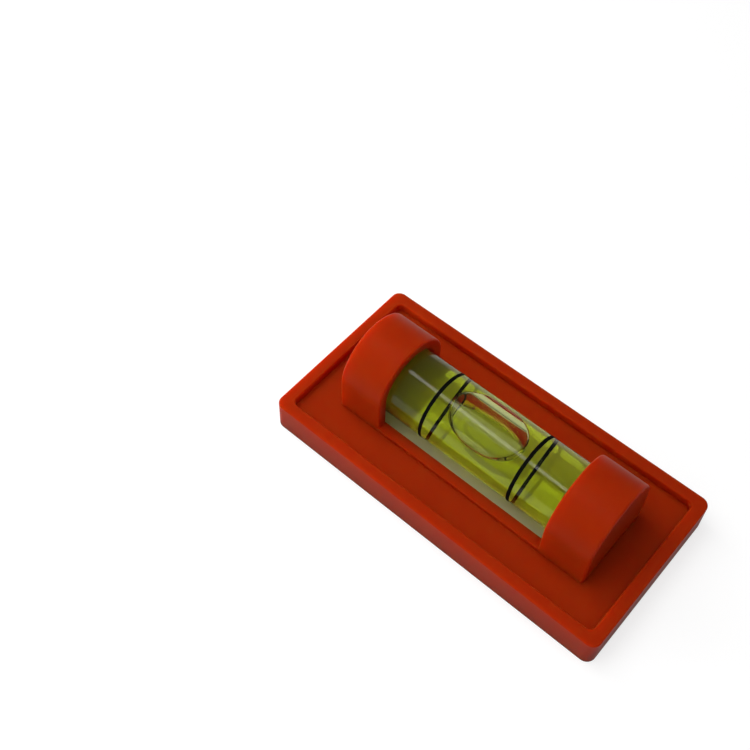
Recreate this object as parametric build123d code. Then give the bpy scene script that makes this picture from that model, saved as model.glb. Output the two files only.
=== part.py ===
from build123d import *
import os

# A small stick-on bubble level, in millimetres. +X runs along the vial, +Y to the far long side, +Z up.
# The origin is the middle of the flat back face, which lies at Z = 0.

# Base plate of the moulded housing
plate_length = 60.0
plate_width = 30.0
plate_height = 5.5
plate_corner_radius = 1.5
plate_draft = 0.5  # degrees that the side walls lean in towards the face
plate_edge_radius = 0.2
rim_width = 2.0
rim_edge_radius = 0.25
floor_depth = 1.5
floor_corner_radius = 1.0

# Arched tunnel that holds the vial
tunnel_wall = 1.65
end_wall = 2.0
arch_level = 9.8
window_length = 30.2
sill_height = 0.8
hood_edge_radius = 0.4
window_edge_radius = 0.3

# Clear vial, a round tube with a barrel bore
vial_length = 40.0
vial_radius = 5.8
vial_drop = 0.6  # its axis lies this far below the arch's centre
vial_shift = -0.4  # its middle lies this far along X from the tunnel's middle
vial_side_clearance = 0.05
vial_end_clearance = 0.85
vial_edge_radius = 0.25
bore_radius = 4.2
bore_end_radius = 4.05
bore_end_wall = 2.5  # left solid at the closed end, and the plug's thickness at the other
plug_radius = 4.4

# Black index rings in shallow grooves round the vial
ring_offset = 8.2
ring_width = 0.6
ring_depth = 0.1

# Air bubble: a flat drop with round edges, whose top follows the bore behind a thin film of fluid
bubble_length = 13.0
bubble_width = 7.7
bubble_thickness = 3.2
bubble_edge_radius = 1.4
bubble_lip_radius = 0.5
bubble_film = 0.15

# Hairline gap that parts the rings, the plug, the fluid and the bubble from what they fill
fit_gap = 0.02

# Magnet sheet in the back, on its adhesive film
magnet_length = 55.0
magnet_width = 25.0
magnet_thickness = 1.8
magnet_corner_radius = 0.3
film_thickness = 0.2
film_inset = 0.5

# Levels, lengths and half widths that follow from the sizes above
floor_level = plate_height - floor_depth
sill_level = floor_level + sill_height
pocket_depth = magnet_thickness + film_thickness
tunnel_half_width = vial_radius + vial_side_clearance
tunnel_length = vial_length + 2 * vial_end_clearance
hood_half_width = tunnel_half_width + tunnel_wall
hood_length = tunnel_length + 2 * end_wall
hood_top = arch_level + hood_half_width
vial_level = arch_level - vial_drop
bore_length = vial_length - 2 * bore_end_wall
cut_margin = 1.0


def arch_block(half_width, foot_level, length):
    """A bar along X: straight sides from foot_level to the arch's centre, and a half circle on top."""
    left_foot = (-half_width, foot_level)
    left_spring = (-half_width, arch_level)
    crown = (0, arch_level + half_width)
    right_spring = (half_width, arch_level)
    right_foot = (half_width, foot_level)
    outline = Curve() + [
        Line(left_foot, left_spring),
        ThreePointArc(left_spring, crown, right_spring),
        Line(right_spring, right_foot),
        Line(right_foot, left_foot),
    ]
    return extrude(Plane.YZ * make_face(outline), length / 2, both=True)


def edges_across(shape, station, lowest):
    """The edges that lie in the plane X = station, above the level lowest."""
    in_plane = shape.edges().filter_by_position(Axis.X, station - 0.01, station + 0.01)
    return [edge for edge in in_plane if edge.center().Z > lowest]


def base_plate():
    """The plate with its drafted sides, raised rim and recessed floor."""
    outline = RectangleRounded(plate_length, plate_width, plate_corner_radius)
    plate = extrude(outline, plate_height, taper=plate_draft)
    plate = fillet(plate.faces().sort_by(Axis.Z)[-1].edges(), plate_edge_radius)
    floor = RectangleRounded(plate_length - 2 * rim_width, plate_width - 2 * rim_width, floor_corner_radius)
    recess = extrude(Pos(0, 0, floor_level) * floor, floor_depth + cut_margin)
    plate -= recess
    rim = plate.faces().filter_by(Axis.Z).sort_by(Axis.Z)[-1]
    return fillet(rim.inner_wires()[0].edges(), rim_edge_radius)


def end_hoods():
    """The arched tunnel wall, cut open between its two ends so that the vial shows."""
    hoods = arch_block(hood_half_width, pocket_depth, hood_length)
    for side in (-1, 1):
        hoods = fillet(edges_across(hoods, side * hood_length / 2, floor_level), hood_edge_radius)
    window_height = hood_top - sill_level + cut_margin
    window = Pos(0, 0, sill_level + window_height / 2) * Box(
        window_length, 2 * hood_half_width + cut_margin, window_height
    )
    hoods -= window
    for side in (-1, 1):
        hoods = fillet(edges_across(hoods, side * window_length / 2, sill_level + cut_margin), window_edge_radius)
    return hoods


def make_housing():
    """One moulding: plate, hoods and sills, with the vial's tunnel and the magnet's pocket open to the back."""
    housing = base_plate() + end_hoods()
    housing -= arch_block(tunnel_half_width, -cut_margin, tunnel_length)
    pocket = extrude(Rectangle(magnet_length, magnet_width), pocket_depth)
    return housing - pocket


def in_vial(shape):
    """A shape drawn about the origin, moved onto the middle of the vial's axis."""
    return Pos(vial_shift, 0, vial_level) * shape


def disc_along_x(radius, start, length):
    """A disc on the X axis, from X = start."""
    return Pos(start, 0, 0) * extrude(Plane.YZ * Circle(radius), length)


def bore_solid(inset=0.0):
    """The barrel bore's inside, widest at its middle, or the same shape shrunk all round by inset."""
    half = bore_length / 2 - inset
    middle = bore_radius - inset
    end = bore_end_radius - inset
    outline = Curve() + [
        Line((-half, 0), (-half, end)),
        ThreePointArc((-half, end), (0, middle), (half, end)),
        Line((half, end), (half, 0)),
        Line((half, 0), (-half, 0)),
    ]
    return revolve(Plane.XZ * make_face(outline), Axis.X)


def ring_band(side, outer_radius, inset=0.0):
    """The band of one index ring, from its groove's floor out to outer_radius, with inset left free in the groove."""
    start = side * ring_offset - ring_width / 2 + inset
    length = ring_width - 2 * inset
    floor_radius = vial_radius - ring_depth + inset
    return disc_along_x(outer_radius, start, length) - disc_along_x(floor_radius, start, length)


def make_vial_body():
    """The round tube, bored from the +X end, with the ring grooves and the plug's counterbore."""
    tube = disc_along_x(vial_radius, -vial_length / 2, vial_length)
    tube = fillet(tube.edges().filter_by(GeomType.CIRCLE), vial_edge_radius)
    tube -= bore_solid()
    for side in (-1, 1):
        tube -= ring_band(side, vial_radius + cut_margin)
    tube -= disc_along_x(plug_radius, bore_length / 2, bore_end_wall)
    return in_vial(tube)


def make_plug():
    """The disc that closes the filled bore, seated on the counterbore's shoulder."""
    return in_vial(disc_along_x(plug_radius - fit_gap, bore_length / 2, bore_end_wall))


def make_ring(side):
    """One black index ring, flush with the tube's outside."""
    return in_vial(ring_band(side, vial_radius, fit_gap))


def bubble_shape(inset=0.0):
    """The hollow that the bubble makes in the fluid, or the same shape shrunk all round by inset."""
    deepest = bore_radius - bubble_film - bubble_thickness + inset
    drop = extrude(Ellipse(bubble_length / 2 - inset, bubble_width / 2 - inset), bubble_thickness + cut_margin)
    drop = fillet(drop.edges().sort_by(Axis.Z)[0], bubble_edge_radius - inset)
    drop = Pos(0, 0, deepest) * drop & bore_solid(bubble_film + inset)
    roof = drop.faces().sort_by(Axis.Z)[-1]
    return fillet(roof.edges(), bubble_lip_radius - inset)


def make_bubble():
    """The air in the hollow."""
    return in_vial(bubble_shape(fit_gap))


def make_fluid():
    """The fluid that fills the bore, all but the bubble's hollow."""
    return in_vial(bore_solid(fit_gap) - bubble_shape())


def make_magnet():
    """The flexible magnet sheet, flush with the back face."""
    return extrude(RectangleRounded(magnet_length, magnet_width, magnet_corner_radius), magnet_thickness)


def make_film():
    """The adhesive film between the magnet sheet and the pocket's roof."""
    sheet = Rectangle(magnet_length - 2 * film_inset, magnet_width - 2 * film_inset)
    return Pos(0, 0, magnet_thickness) * extrude(sheet, film_thickness)


nodes = {
    "housing": make_housing(),
    "vial_body": make_vial_body(),
    "vial_end_plug": make_plug(),
    "index_ring_left": make_ring(-1),
    "index_ring_right": make_ring(1),
    "air_bubble": make_bubble(),
    "level_fluid": make_fluid(),
    "magnet_sheet": make_magnet(),
    "adhesive_film": make_film(),
}

os.makedirs("parts", exist_ok=True)
for name, solid in nodes.items():
    export_step(solid, f"parts/{name}.step")
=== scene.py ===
import math

import bpy
from mathutils import Matrix, Vector


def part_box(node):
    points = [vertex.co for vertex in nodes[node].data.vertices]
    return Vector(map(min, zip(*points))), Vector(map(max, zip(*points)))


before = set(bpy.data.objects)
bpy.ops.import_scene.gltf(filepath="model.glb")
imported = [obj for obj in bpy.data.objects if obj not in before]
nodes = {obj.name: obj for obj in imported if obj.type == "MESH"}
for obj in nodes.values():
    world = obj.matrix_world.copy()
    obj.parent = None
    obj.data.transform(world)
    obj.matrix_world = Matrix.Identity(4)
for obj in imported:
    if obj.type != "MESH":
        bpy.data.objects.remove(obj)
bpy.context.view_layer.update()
mm = 0.001
print("frame: " + str(len(nodes)) + " nodes")


def linearFrom(hexColour):
    # sRGB hex to the linear values that a shader takes
    channels = [int(hexColour[k:k + 2], 16) / 255 for k in (1, 3, 5)]
    linear = [c / 12.92 if c <= 0.04045 else ((c + 0.055) / 1.055) ** 2.4 for c in channels]
    return (*linear, 1.0)


def directionFrom(azimuth, elevation):
    # where a lamp or the camera stands, in degrees: azimuth 0 is the near long side, 90 the end at +X
    a, e = math.radians(azimuth), math.radians(elevation)
    return Vector((math.sin(a) * math.cos(e), -math.cos(a) * math.cos(e), math.sin(e)))


def addNode(tree, kind, settings=None, links=None):
    # a setting goes to the input socket of that name, or else to the node's own property
    # links: input socket, by name or number -> (node, its output socket)
    node = tree.nodes.new(kind)
    for name, value in (settings or {}).items():
        if name in node.inputs:
            node.inputs[name].default_value = value
        else:
            setattr(node, name, value)
    for name, (source, output) in (links or {}).items():
        tree.links.new(source.outputs[output], node.inputs[name])
    return node


def newMaterial(name):
    material = bpy.data.materials.new(name)
    material.use_nodes = True
    material.node_tree.nodes.clear()
    return material, material.node_tree


def finishMaterial(tree, surface, volume=None):
    output = addNode(tree, "ShaderNodeOutputMaterial")
    tree.links.new(surface, output.inputs["Surface"])
    if volume is not None:
        tree.links.new(volume, output.inputs["Volume"])


housingLook = {
    "colour": "#9E2B08",
    "deepColour": "#982505",
    "ior": 1.54,
    "roughness": 0.38,
    "specular": 0.08,
    "glow": 1.0,                       # share of the light that goes into the plastic and comes out again
    "glowDepth": 7.0 * mm,             # how far red light goes in it
    "glowSpread": (1.0, 0.25, 0.08),   # how far red, green and blue go, as shares of that
    "cloudSize": 9 * mm,               # slow change of shade in the moulding
    # spark-eroded mould texture, drawn coarser than the real 0.03 mm so that it shows
    "grainSize": 0.12 * mm,
    "grainHeight": 0.004 * mm,
}


def mouldedAbs(look):
    # Injection-moulded ABS, dyed orange through: an even satin skin, a touch deeper where the melt
    # flowed slowly, with shadows that the light inside the plastic softens
    material, tree = newMaterial("mouldedOrangeAbs")
    place = addNode(tree, "ShaderNodeTexCoord")
    cloud = addNode(tree, "ShaderNodeTexNoise", {"Scale": 1 / look["cloudSize"], "Detail": 3.0},
                    {"Vector": (place, "Object")})
    shade = addNode(tree, "ShaderNodeMix", {"data_type": "RGBA"}, {"Factor": (cloud, "Fac")})
    shade.inputs["A"].default_value = linearFrom(look["deepColour"])
    shade.inputs["B"].default_value = linearFrom(look["colour"])
    grain = addNode(tree, "ShaderNodeTexNoise", {"Scale": 1 / look["grainSize"], "Detail": 2.0},
                    {"Vector": (place, "Object")})
    bump = addNode(tree, "ShaderNodeBump", {"Strength": 1.0, "Distance": look["grainHeight"]},
                   {"Height": (grain, "Fac")})
    plastic = addNode(tree, "ShaderNodeBsdfPrincipled",
                      {"Roughness": look["roughness"], "IOR": look["ior"],
                       "Specular IOR Level": look["specular"], "Subsurface Weight": look["glow"],
                       "Subsurface Radius": look["glowSpread"], "Subsurface Scale": look["glowDepth"]},
                      {"Normal": (bump, "Normal")})
    tree.links.new(shade.outputs["Result"], plastic.inputs["Base Color"])
    finishMaterial(tree, plastic.outputs["BSDF"])
    return material


vialLook = {
    "acrylicColour": "#FBFCF6",
    "acrylicIor": 1.49,
    "fluidIor": 1.36,
    "fluidSkin": "#F8FCD8",
    "fluidDye": (0.94, 0.962, 0.28),   # red, green and blue: the dye absorbs what they lack to 1
    "dyeDensity": 260.0,               # and this many times that in a metre
    "skinDepth": 0.07 * mm,            # faces of the fluid deeper than this are the bubble's hollow
    "endDepth": 0.05 * mm,             # leeway along the vial where a face's place is compared
}


def clearAcrylic(look):
    # Polished cast acrylic: water-clear, with sharp reflections
    material, tree = newMaterial("clearAcrylic")
    glass = addNode(tree, "ShaderNodeBsdfPrincipled",
                    {"Base Color": linearFrom(look["acrylicColour"]), "Transmission Weight": 1.0,
                     "IOR": look["acrylicIor"], "Roughness": 0.0})
    finishMaterial(tree, glass.outputs["BSDF"])
    return material


def wettedWall():
    # A clear face that another clear piece covers: the light bends on the piece inside it, not here
    material, tree = newMaterial("wettedWall")
    clear = addNode(tree, "ShaderNodeBsdfTransparent")
    finishMaterial(tree, clear.outputs["BSDF"])
    return material


def dyedSpirit(look):
    # Spirit with yellow-green dye, seen from inside the acrylic: the dye takes the blue out of the light
    # on its way
    material, tree = newMaterial("dyedSpirit")
    skin = addNode(tree, "ShaderNodeBsdfGlass",
                   {"Color": linearFrom(look["fluidSkin"]), "Roughness": 0.0,
                    "IOR": look["fluidIor"] / look["acrylicIor"]})
    dye = addNode(tree, "ShaderNodeVolumeAbsorption",
                  {"Color": (*look["fluidDye"], 1.0), "Density": look["dyeDensity"]})
    finishMaterial(tree, skin.outputs["BSDF"], dye.outputs["Volume"])
    return material


def airInSpirit(look):
    # Air seen from inside the fluid: its rim turns the light back and so looks dark
    material, tree = newMaterial("airInSpirit")
    glass = addNode(tree, "ShaderNodeBsdfGlass",
                    {"Color": (1, 1, 1, 1), "Roughness": 0.0, "IOR": 1 / look["fluidIor"]})
    finishMaterial(tree, glass.outputs["BSDF"])
    return material


inkLook = {
    "colour": "#080808",
    "roughness": 0.8,
    "specular": 0.05,
}


def blackInk(look):
    # Baked black ink in the ring grooves: dense, with little shine
    material, tree = newMaterial("blackRingInk")
    ink = addNode(tree, "ShaderNodeBsdfPrincipled",
                  {"Base Color": linearFrom(look["colour"]), "Roughness": look["roughness"],
                   "Specular IOR Level": look["specular"]})
    finishMaterial(tree, ink.outputs["BSDF"])
    return material


magnetLook = {
    "colour": "#0B0C10",
    "dustColour": "#6A6C70",
    "dustSize": 1.4 * mm,
    "dustFrom": 0.72,   # noise level where the dust starts
    "dustTo": 0.76,     # and where it covers the rubber
    "roughness": 0.7,
}


def ferriteRubber(look):
    # Flexible magnet sheet: near-black ferrite in rubber, calendered, with pale dust here and there
    material, tree = newMaterial("ferriteRubber")
    place = addNode(tree, "ShaderNodeTexCoord")
    speck = addNode(tree, "ShaderNodeTexNoise", {"Scale": 1 / look["dustSize"], "Detail": 4.0},
                    {"Vector": (place, "Object")})
    only = addNode(tree, "ShaderNodeMapRange", {"From Min": look["dustFrom"], "From Max": look["dustTo"]},
                   {"Value": (speck, "Fac")})
    shade = addNode(tree, "ShaderNodeMix", {"data_type": "RGBA"}, {"Factor": (only, "Result")})
    shade.inputs["A"].default_value = linearFrom(look["colour"])
    shade.inputs["B"].default_value = linearFrom(look["dustColour"])
    rubber = addNode(tree, "ShaderNodeBsdfPrincipled", {"Roughness": look["roughness"]})
    tree.links.new(shade.outputs["Result"], rubber.inputs["Base Color"])
    finishMaterial(tree, rubber.outputs["BSDF"])
    return material


filmLookWithPaintedShade = {
    # the carrier's own pale tone, darkened as painted shade for the gap beside the vial
    "colour": "#CBC3A2",
    "roughness": 0.7,
    "specular": 0.2,
}


def shadedAdhesiveFilm(look):
    # Double-sided tape with a pale paper carrier, which shows below the vial; its cream tone is partly
    # painted shade
    material, tree = newMaterial("shadedAdhesiveFilm")
    tape = addNode(tree, "ShaderNodeBsdfPrincipled",
                   {"Base Color": linearFrom(look["colour"]), "Roughness": look["roughness"],
                    "Specular IOR Level": look["specular"]})
    finishMaterial(tree, tape.outputs["BSDF"])
    return material


def dress(name, *materials):
    node = nodes[name]
    node.data.materials.clear()
    for material in materials:
        node.data.materials.append(material)
    node.data.polygons.foreach_set("material_index", [0] * len(node.data.polygons))
    return node


def giveFaces(node, slot, belongs):
    # faces whose centre passes the test take the material in that slot
    for face in node.data.polygons:
        if belongs(face.center):
            face.material_index = slot


fluidLow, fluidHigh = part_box("level_fluid")
boreAxis = (fluidLow + fluidHigh) / 2
boreRadius = (fluidHigh.z - fluidLow.z) / 2
bubbleLow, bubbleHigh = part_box("air_bubble")
vialLow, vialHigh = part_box("vial_body")
vialRadius = (vialHigh.z - vialLow.z) / 2
wallMiddle = (boreRadius + vialRadius) / 2
ringBoxes = [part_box(name) for name in ("index_ring_left", "index_ring_right")]
endDepth = vialLook["endDepth"]


def fromAxis(point):
    return math.hypot(point.y - boreAxis.y, point.z - boreAxis.z)


def insideWall(point):
    # the bore, its end and the counterbore, all covered by the fluid or the plug
    betweenEnds = vialLow.x + endDepth < point.x < vialHigh.x - endDepth
    return fromAxis(point) < wallMiddle and betweenEnds


def underRing(point):
    # the grooves that the ink fills
    inReach = any(low.x - endDepth < point.x < high.x + endDepth for low, high in ringBoxes)
    return inReach and fromAxis(point) < vialRadius


def againstVial(point):
    # all of the plug but its outer end
    return point.x < vialHigh.x - endDepth


def roundBubble(point):
    # the fluid's hollow, which the bubble fills
    inReach = bubbleLow.x - endDepth < point.x < bubbleHigh.x + endDepth
    return inReach and fromAxis(point) < boreRadius - vialLook["skinDepth"]


dress("housing", mouldedAbs(housingLook))
acrylic = clearAcrylic(vialLook)
wetted = wettedWall()
vial = dress("vial_body", acrylic, wetted)
giveFaces(vial, 1, insideWall)
giveFaces(vial, 1, underRing)
plug = dress("vial_end_plug", acrylic, wetted)
giveFaces(plug, 1, againstVial)
fluid = dress("level_fluid", dyedSpirit(vialLook), wetted)
giveFaces(fluid, 1, roundBubble)
dress("air_bubble", airInSpirit(vialLook))
ink = blackInk(inkLook)
dress("index_ring_left", ink)
dress("index_ring_right", ink)
dress("magnet_sheet", ferriteRubber(magnetLook))
dress("adhesive_film", shadedAdhesiveFilm(filmLookWithPaintedShade))
print("materials: " + str(len(bpy.data.materials)))


studio = {
    "floorSize": 6.0,
    "floorDrop": 0.1 * mm,
    "floorColour": "#9C9C9C",
    "floorGlow": 0.72,        # what the camera sees near the level, which leaves room for the shadow
    "floorMirror": 0.2,       # what reflections and clear pieces see
    "shadowReach": 80 * mm,   # the glow is floorGlow up to here
    "whiteReach": 500 * mm,   # and plain white from here on
    "horizon": 0.2,           # light from just above the floor
    "horizonTop": 0.12,       # height at which the ceiling takes over, where 1 is straight up
    "ceiling": 0.08,
}


def layFloor(look):
    # White paper sweep: it glows for the camera, dimly in reflections and through the clear pieces, and not
    # at all for the light on the level, so that its shadow stays
    half = look["floorSize"] / 2
    mesh = bpy.data.meshes.new("paperFloor")
    corners = [(-half, -half), (half, -half), (half, half), (-half, half)]
    mesh.from_pydata([(x, y, -look["floorDrop"]) for x, y in corners], [], [(0, 1, 2, 3)])
    floor = bpy.data.objects.new("paperFloor", mesh)
    bpy.context.scene.collection.objects.link(floor)
    material, tree = newMaterial("whitePaper")
    path = addNode(tree, "ShaderNodeLightPath")
    through = addNode(tree, "ShaderNodeMath", {"operation": "MAXIMUM"},
                      {0: (path, "Is Glossy Ray"), 1: (path, "Is Transmission Ray")})
    mirrored = addNode(tree, "ShaderNodeMath", {"operation": "MULTIPLY"}, {0: (through, "Value")})
    mirrored.inputs[1].default_value = look["floorMirror"]
    place = addNode(tree, "ShaderNodeTexCoord")
    reach = addNode(tree, "ShaderNodeVectorMath", {"operation": "LENGTH"}, {"Vector": (place, "Object")})
    white = addNode(tree, "ShaderNodeMapRange",
                    {"From Min": look["shadowReach"], "From Max": look["whiteReach"],
                     "To Min": look["floorGlow"], "To Max": 1.0}, {"Value": (reach, "Value")})
    seen = addNode(tree, "ShaderNodeMath", {"operation": "MULTIPLY"},
                   {0: (path, "Is Camera Ray"), 1: (white, "Result")})
    strength = addNode(tree, "ShaderNodeMath", {"operation": "MAXIMUM"},
                       {0: (seen, "Value"), 1: (mirrored, "Value")})
    paper = addNode(tree, "ShaderNodeBsdfDiffuse", {"Color": linearFrom(look["floorColour"])})
    glow = addNode(tree, "ShaderNodeEmission", {"Color": (1, 1, 1, 1)}, {"Strength": (strength, "Value")})
    both = addNode(tree, "ShaderNodeAddShader", None, {0: (paper, "BSDF"), 1: (glow, "Emission")})
    finishMaterial(tree, both.outputs["Shader"])
    mesh.materials.append(material)


def lightRoom(look):
    # Plain white to the camera. To all else a dim room, brightest at the horizon
    world = bpy.data.worlds.new("studioRoom")
    world.use_nodes = True
    tree = world.node_tree
    tree.nodes.clear()
    place = addNode(tree, "ShaderNodeTexCoord")
    split = addNode(tree, "ShaderNodeSeparateXYZ", None, {"Vector": (place, "Generated")})
    height = addNode(tree, "ShaderNodeMapRange",
                     {"From Min": 0.0, "From Max": look["horizonTop"],
                      "To Min": look["horizon"], "To Max": look["ceiling"]}, {"Value": (split, "Z")})
    path = addNode(tree, "ShaderNodeLightPath")
    brightness = addNode(tree, "ShaderNodeMath", {"operation": "MAXIMUM"},
                         {0: (height, "Result"), 1: (path, "Is Camera Ray")})
    sky = addNode(tree, "ShaderNodeBackground", {"Color": (1, 1, 1, 1)}, {"Strength": (brightness, "Value")})
    addNode(tree, "ShaderNodeOutputWorld", None, {"Surface": (sky, "Background")})
    bpy.context.scene.world = world


def addSoftbox(name, azimuth, elevation, distance, width, height, power):
    light = bpy.data.lights.new(name, "AREA")
    light.shape = "RECTANGLE"
    light.size = width
    light.size_y = height
    light.energy = power
    lamp = bpy.data.objects.new(name, light)
    bpy.context.scene.collection.objects.link(lamp)
    away = directionFrom(azimuth, elevation)
    lamp.location = away * distance
    lamp.rotation_mode = "QUATERNION"
    lamp.rotation_quaternion = away.to_track_quat("Z", "Y")
    return lamp


# azimuth and elevation in degrees, distance, width and height in metres, power in watts
softboxes = {
    "leftSoftbox": (288, 70, 0.30, 0.24, 0.20, 0.46),
    "lowLeftSoftbox": (270, 40, 0.14, 0.08, 0.08, 0.06),
    "overheadSoftbox": (0, 88, 0.40, 0.30, 0.30, 0.08),
    "nearSoftbox": (356, 38, 0.42, 0.45, 0.30, 0.33),
    "tableSoftbox": (330, 12, 0.30, 0.25, 0.10, 0.32),
    "rightSoftbox": (88, 50, 0.40, 0.45, 0.40, 0.36),
}
ceilingStrip = (306, 72.4, 0.50, 0.40, 0.05, 0.15)

layFloor(studio)
lightRoom(studio)
for lampName, place in softboxes.items():
    # lit from all round, with no mirror images: the one streak on the vial is the ceiling strip's
    addSoftbox(lampName, *place).visible_glossy = False
addSoftbox("ceilingStrip", *ceilingStrip)

shot = {
    "azimuth": 42.795,
    "elevation": 54.038,
    "roll": 1.016,
    "distance": 191.502 * mm,
    "aim": Vector((-34.365 * mm, 3.885 * mm, 0)),
    "lens": 54.5,          # millimetres, on a sensor of sensorWidth
    "sensorWidth": 36,
    "shift": 0.0533,
    "nearClip": 0.01,      # metres
    "farClip": 20,
}


def placeCamera(look):
    camera = bpy.data.cameras.new("photoCamera")
    camera.sensor_width = look["sensorWidth"]
    camera.lens = look["lens"]
    camera.shift_x = look["shift"]
    camera.shift_y = -look["shift"]
    camera.clip_start = look["nearClip"]
    camera.clip_end = look["farClip"]
    back = directionFrom(look["azimuth"], look["elevation"])
    right = back.cross(Vector((0, 0, 1))).normalized() * -1
    up = back.cross(right)
    roll = math.radians(look["roll"])
    cosRoll, sinRoll = math.cos(roll), math.sin(roll)
    right, up = right * cosRoll - up * sinRoll, right * sinRoll + up * cosRoll
    holder = bpy.data.objects.new("photoCamera", camera)
    bpy.context.scene.collection.objects.link(holder)
    turn = Matrix((right, up, back)).transposed().to_4x4()
    holder.matrix_world = Matrix.Translation(look["aim"] + back * look["distance"]) @ turn
    bpy.context.scene.camera = holder


placeCamera(shot)
bpy.context.scene.view_settings.view_transform = "Standard"
print("stage: floor, room, lamps and camera")
